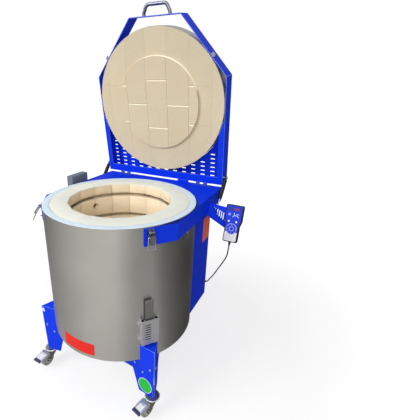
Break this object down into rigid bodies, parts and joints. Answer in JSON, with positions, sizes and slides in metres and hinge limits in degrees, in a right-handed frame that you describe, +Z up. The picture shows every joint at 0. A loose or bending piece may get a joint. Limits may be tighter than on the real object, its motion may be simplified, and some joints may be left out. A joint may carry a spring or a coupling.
{
  "type": "electric kiln",
  "caption": "Round top-loading electric kiln with a brick-lined drum, hinged octagonal lid held open by gas struts, castors, latches and a hand controller.",
  "frame": {"origin": "centre of the chamber floor's top face, on the axis of the round chamber", "axes": "+Z up along the chamber's axis, +X to the kiln's right (the controller's side), +Y to its back (the lid hinge's side)"},
  "size_m": [0.921, 0.8485, 1.7494],
  "materials": {
    "jacket": "satin",
    "blue_paint": "satin",
    "brick": "matte",
    "fibre": "matte",
    "element_wire": "matte",
    "white_ceramic": "satin",
    "stainless": "satin",
    "chrome_wire": "polished",
    "zinc": "satin",
    "galvanised": "matte",
    "black_plastic": "matte",
    "dark_box": "matte",
    "panel_print": "satin",
    "cord": "matte",
    "red_plate": "satin",
    "grey_wheel": "matte",
    "black_steel": "satin",
    "wire": "matte"
  },
  "bodies": {
    "kiln": {"jacket": "jacket", "base_pan": "galvanised", "fibre_insulation": "fibre", "floor_bricks": "brick", "wall_bricks_upper": "brick", "wall_bricks_lower": "brick", "heating_elements": "element_wire", "element_bushings": "white_ceramic", "thermocouple": "white_ceramic", "air_inlet": "stainless", "switch_box": "dark_box", "blank_plates": "red_plate", "collar": "blue_paint", "electrics_box": "blue_paint", "rear_cover": "blue_paint", "terminal_block": "white_ceramic", "contactor": "black_plastic", "internal_wiring": "wire", "cable_glands": "black_plastic", "front_leg_left": "blue_paint", "front_leg_right": "blue_paint", "rear_legs": "blue_paint", "screws": "zinc", "strut_brackets": "zinc", "hinge_fixed": "zinc", "latch_bases": "zinc", "controller_bracket": "blue_paint", "controller_body": "black_plastic", "controller_face": "panel_print", "controller_cord": "cord"},
    "lid": {"lid_frame": "blue_paint", "lid_panel": "blue_paint", "lid_rim": "stainless", "lid_cover": "stainless", "lid_bricks": "brick", "lid_handle": "stainless", "lid_fittings": "zinc", "hinge_moving": "zinc", "strut_pins": "zinc"},
    "spy_bung": {"spy_bung": "white_ceramic"},
    "air_slide": {"air_slide": "stainless"},
    "strut_rod_left": {"strut_rod_left": "zinc"},
    "strut_cylinder_left": {"strut_cylinder_left": "black_steel"},
    "strut_rod_right": {"strut_rod_right": "zinc"},
    "strut_cylinder_right": {"strut_cylinder_right": "black_steel"},
    "latch_lever_left": {"latch_lever_left": "stainless"},
    "latch_bail_left": {"latch_bail_left": "chrome_wire"},
    "latch_lever_right": {"latch_lever_right": "stainless"},
    "latch_bail_right": {"latch_bail_right": "chrome_wire"},
    "castor_fork_front_right": {"castor_fork_front_right": "zinc"},
    "castor_wheel_front_right": {"castor_wheel_front_right": "grey_wheel"},
    "castor_pedal_front_right": {"castor_pedal_front_right": "zinc"},
    "castor_fork_front_left": {"castor_fork_front_left": "zinc"},
    "castor_wheel_front_left": {"castor_wheel_front_left": "grey_wheel"},
    "castor_pedal_front_left": {"castor_pedal_front_left": "zinc"},
    "castor_fork_rear_right": {"castor_fork_rear_right": "zinc"},
    "castor_wheel_rear_right": {"castor_wheel_rear_right": "grey_wheel"},
    "castor_fork_rear_left": {"castor_fork_rear_left": "zinc"},
    "castor_wheel_rear_left": {"castor_wheel_rear_left": "grey_wheel"}
  },
  "joints": [
    {"name": "lid_hinge", "type": "hinge", "parent": "kiln", "child": "lid", "pos_m": [0, 0.4106, 0.4971], "axis": [1, 0, 0], "range_deg": [0, 82], "stiffness_Nm_per_rad": 27, "springref_deg": -42.97},
    {"name": "spy_bung_slide", "type": "slide", "parent": "kiln", "child": "spy_bung", "axis": [-0.9239, 0.3827, 0], "range_m": [0, 0.12]},
    {"name": "air_slide_travel", "type": "slide", "parent": "kiln", "child": "air_slide", "axis": [0, 0, 1], "range_m": [0, 0.05]},
    {"name": "strut_rod_left_pivot", "type": "hinge", "parent": "kiln", "child": "strut_rod_left", "pos_m": [-0.366, 0.3, 0.401], "axis": [1, 0, 0], "range_deg": [0, 18]},
    {"name": "strut_cylinder_left_pivot", "type": "hinge", "parent": "lid", "child": "strut_cylinder_left", "pos_m": [-0.366, 0.431, 0.552], "axis": [1, 0, 0], "range_deg": [-66, 0]},
    {"name": "strut_rod_right_pivot", "type": "hinge", "parent": "kiln", "child": "strut_rod_right", "pos_m": [0.366, 0.3, 0.401], "axis": [1, 0, 0], "range_deg": [0, 18]},
    {"name": "strut_cylinder_right_pivot", "type": "hinge", "parent": "lid", "child": "strut_cylinder_right", "pos_m": [0.366, 0.431, 0.552], "axis": [1, 0, 0], "range_deg": [-66, 0]},
    {"name": "latch_lever_left_pivot", "type": "hinge", "parent": "kiln", "child": "latch_lever_left", "pos_m": [-0.29106, -0.22389, 0.486], "axis": [0.5934, -0.8049, 0], "range_deg": [-86, 30]},
    {"name": "latch_bail_left_pivot", "type": "hinge", "parent": "latch_lever_left", "child": "latch_bail_left", "pos_m": [-0.2976, -0.22872, 0.46981], "axis": [0.5934, -0.8049, 0], "range_deg": [-60, 3]},
    {"name": "latch_lever_right_pivot", "type": "hinge", "parent": "kiln", "child": "latch_lever_right", "pos_m": [0.29106, -0.22389, 0.486], "axis": [0.5934, 0.8049, 0], "range_deg": [-112, 4]},
    {"name": "latch_bail_right_pivot", "type": "hinge", "parent": "latch_lever_right", "child": "latch_bail_right", "pos_m": [0.29097, -0.22383, 0.46789], "axis": [0.5934, 0.8049, 0], "range_deg": [-60, 3]},
    {"name": "castor_swivel_front_right", "type": "hinge", "parent": "kiln", "child": "castor_fork_front_right", "pos_m": [0.30763, -0.24295, -0.32], "axis": [0, 0, 1], "continuous": true},
    {"name": "castor_wheel_front_right_spin", "type": "hinge", "parent": "castor_fork_front_right", "child": "castor_wheel_front_right", "pos_m": [0.29716, -0.27948, -0.364], "axis": [0.9613, -0.2756, 0], "continuous": true},
    {"name": "castor_pedal_front_right_pivot", "type": "hinge", "parent": "castor_fork_front_right", "child": "castor_pedal_front_right", "pos_m": [0.2955, -0.28525, -0.3295], "axis": [0.9613, -0.2756, 0], "range_deg": [0, 12]},
    {"name": "castor_swivel_front_left", "type": "hinge", "parent": "kiln", "child": "castor_fork_front_left", "pos_m": [-0.30763, -0.24295, -0.32], "axis": [0, 0, 1], "continuous": true},
    {"name": "castor_wheel_front_left_spin", "type": "hinge", "parent": "castor_fork_front_left", "child": "castor_wheel_front_left", "pos_m": [-0.30962, -0.2809, -0.364], "axis": [0.9986, -0.0523, 0], "continuous": true},
    {"name": "castor_pedal_front_left_pivot", "type": "hinge", "parent": "castor_fork_front_left", "child": "castor_pedal_front_left", "pos_m": [-0.30994, -0.28689, -0.3295], "axis": [0.9986, -0.0523, 0], "range_deg": [0, 12]},
    {"name": "castor_swivel_rear_right", "type": "hinge", "parent": "kiln", "child": "castor_fork_rear_right", "pos_m": [0.178, 0.392, -0.32], "axis": [0, 0, 1], "continuous": true},
    {"name": "castor_wheel_rear_right_spin", "type": "hinge", "parent": "castor_fork_rear_right", "child": "castor_wheel_rear_right", "pos_m": [0.16254, 0.35729, -0.364], "axis": [0.9135, -0.4067, 0], "continuous": true},
    {"name": "castor_swivel_rear_left", "type": "hinge", "parent": "kiln", "child": "castor_fork_rear_left", "pos_m": [-0.178, 0.392, -0.32], "axis": [0, 0, 1], "continuous": true},
    {"name": "castor_wheel_rear_left_spin", "type": "hinge", "parent": "castor_fork_rear_left", "child": "castor_wheel_rear_left", "pos_m": [-0.18394, 0.35447, -0.364], "axis": [0.9877, -0.1564, 0], "continuous": true}
  ],
  "couplings": [
    {"joint": "strut_rod_left_pivot", "follows": "lid_hinge", "ratio": 0.2112},
    {"joint": "strut_cylinder_left_pivot", "follows": "lid_hinge", "ratio": -0.7888},
    {"joint": "strut_rod_right_pivot", "follows": "lid_hinge", "ratio": 0.2112},
    {"joint": "strut_cylinder_right_pivot", "follows": "lid_hinge", "ratio": -0.7888}
  ]
}
